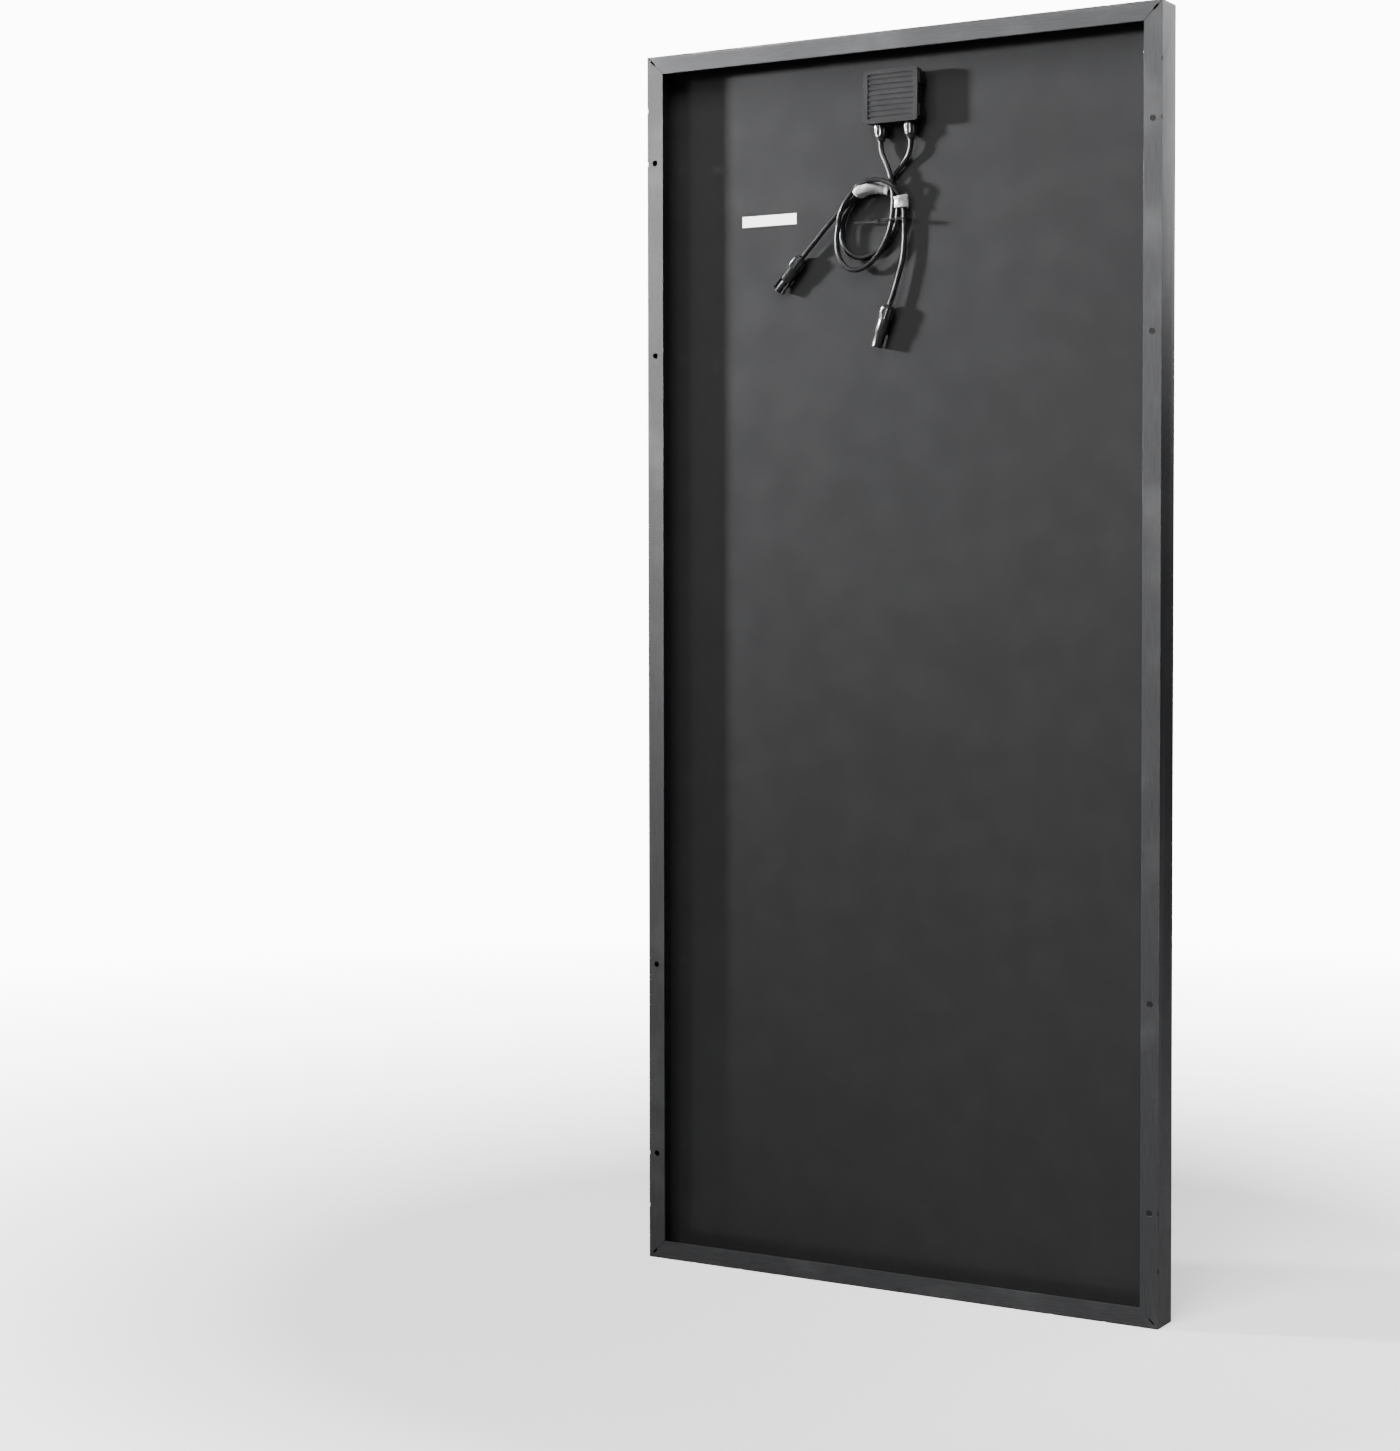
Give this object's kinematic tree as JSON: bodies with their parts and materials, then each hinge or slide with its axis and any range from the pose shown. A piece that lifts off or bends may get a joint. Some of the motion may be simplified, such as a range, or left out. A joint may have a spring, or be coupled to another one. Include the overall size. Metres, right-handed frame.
{
  "type": "solar panel",
  "caption": "Framed solar panel with half-cut cells behind glass, a black mitred frame, a rear junction box and a coiled pair of leads with plug connectors.",
  "frame": {"origin": "middle of the bottom short edge, at half of the frame depth, with the panel standing upright", "axes": "+Z along the long edges, upwards; -Y out of the glass face, +Y out of the back; +X to the right of somebody who looks at the glass"},
  "size_m": [0.67, 0.04, 1.48],
  "materials": {
    "frame_black": "black anodised extrusion, satin, fine lengthwise drawing lines",
    "key_aluminium": "plain cast aluminium",
    "black_rubber": "matte black",
    "panel_glass": "low-iron toughened glass, glossy",
    "clear_film": "clear, laminated",
    "solar_cell": "dark monocrystalline silicon with an anti-reflection coating",
    "tinned_ribbon": "tinned copper ribbon, satin",
    "backsheet_black": "black polymer backsheet, glossy",
    "white_label": "blank white label",
    "box_plastic": "black moulded plastic, semi-gloss",
    "tinned_copper": "tinned copper",
    "cable_jacket": "black extruded cable jacket, semi-gloss",
    "wrap_film": "white stretch film"
  },
  "bodies": {
    "panel": {"frame_side_left": "frame_black", "frame_side_right": "frame_black", "frame_top": "frame_black", "frame_bottom": "frame_black", "corner_key_bottom_left": "key_aluminium", "corner_key_bottom_right": "key_aluminium", "corner_key_top_left": "key_aluminium", "corner_key_top_right": "key_aluminium", "edge_seal": "black_rubber", "box_adhesive": "black_rubber", "gland_seal_positive": "black_rubber", "gland_seal_negative": "black_rubber", "connector_positive_seal": "black_rubber", "connector_negative_seal": "black_rubber", "front_glass": "panel_glass", "front_encapsulant": "clear_film", "rear_encapsulant": "clear_film", "cell_string_1": "solar_cell", "cell_string_2": "solar_cell", "cell_string_3": "solar_cell", "cell_string_4": "solar_cell", "string_ribbons_1": "tinned_ribbon", "string_ribbons_2": "tinned_ribbon", "string_ribbons_3": "tinned_ribbon", "string_ribbons_4": "tinned_ribbon", "bus_bottom_left": "tinned_ribbon", "bus_bottom_right": "tinned_ribbon", "bus_top_negative": "tinned_ribbon", "bus_top_positive": "tinned_ribbon", "backsheet": "backsheet_black", "barcode_label": "white_label", "junction_box_base": "box_plastic", "connector_positive_body": "box_plastic", "connector_negative_body": "box_plastic", "bypass_diode_1": "box_plastic", "bypass_diode_2": "box_plastic", "cable_tie": "box_plastic", "terminal_positive": "tinned_copper", "terminal_negative": "tinned_copper", "connector_positive_contact": "tinned_copper", "connector_negative_contact": "tinned_copper", "cable_positive_inner": "cable_jacket", "cable_negative_inner": "cable_jacket", "cable_positive_lead": "cable_jacket", "cable_negative_lead": "cable_jacket", "cable_coil": "cable_jacket", "cable_positive_tail": "cable_jacket", "cable_negative_tail": "cable_jacket", "cable_wrap_wide": "wrap_film", "cable_wrap_small": "wrap_film"},
    "lid": {"junction_box_lid": "box_plastic", "lid_gasket": "black_rubber"},
    "gland_nut_pos": {"gland_nut_positive": "box_plastic"},
    "gland_nut_neg": {"gland_nut_negative": "box_plastic"},
    "connector_nut_pos": {"connector_positive_nut": "box_plastic"},
    "connector_nut_neg": {"connector_negative_nut": "box_plastic"}
  },
  "joints": [
    {"name": "lid_lift", "type": "slide", "parent": "panel", "child": "lid", "axis": [0, 1, 0], "range_m": [0, 0.025]},
    {"name": "gland_nut_positive_turn", "type": "hinge", "parent": "panel", "child": "gland_nut_pos", "pos_m": [0.0255, -0.004, 1.365], "axis": [0, 0, -1], "range_deg": [0, 360]},
    {"name": "gland_nut_negative_turn", "type": "hinge", "parent": "panel", "child": "gland_nut_neg", "pos_m": [-0.0135, -0.004, 1.365], "axis": [0, 0, -1], "range_deg": [0, 360]},
    {"name": "connector_nut_positive_turn", "type": "hinge", "parent": "panel", "child": "connector_nut_pos", "pos_m": [0.0143, -0.0035, 1.163], "axis": [-0.3251, 0, 0.9457], "range_deg": [0, 360]},
    {"name": "connector_nut_negative_turn", "type": "hinge", "parent": "panel", "child": "connector_nut_neg", "pos_m": [0.131, -0.0035, 1.226], "axis": [-0.6668, 0, 0.7452], "range_deg": [0, 360]}
  ]
}
